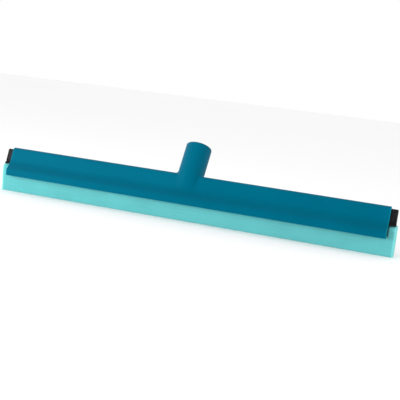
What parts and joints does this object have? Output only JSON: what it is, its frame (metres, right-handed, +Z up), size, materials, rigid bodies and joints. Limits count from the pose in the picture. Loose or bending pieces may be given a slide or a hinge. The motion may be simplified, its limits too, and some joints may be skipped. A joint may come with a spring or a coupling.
{
  "type": "floor squeegee head",
  "caption": "Wide floor squeegee head with a leaning threaded handle socket and a slide-out cassette of two soft foam blades.",
  "frame": {"origin": "on the handle socket's axis, where the mouth's lead-in chamfer ends and the threaded bore begins", "axes": "+X along the head, +Y towards the back, where the socket leans, +Z up with the blades' tips at the bottom"},
  "size_m": [0.6, 0.0678, 0.1135],
  "materials": {
    "frame_plastic": "satin",
    "rail_plastic": "satin",
    "blade_foam": "matte"
  },
  "bodies": {
    "frame": {"frame": "frame_plastic"},
    "cassette": {"cassette_rail": "rail_plastic", "rail_plug_left": "rail_plastic", "rail_plug_right": "rail_plastic", "front_blade": "blade_foam", "rear_blade": "blade_foam"}
  },
  "joints": [
    {"name": "cassette_slide", "type": "slide", "parent": "frame", "child": "cassette", "axis": [1, 0, 0], "range_m": [0, 0.6]}
  ]
}
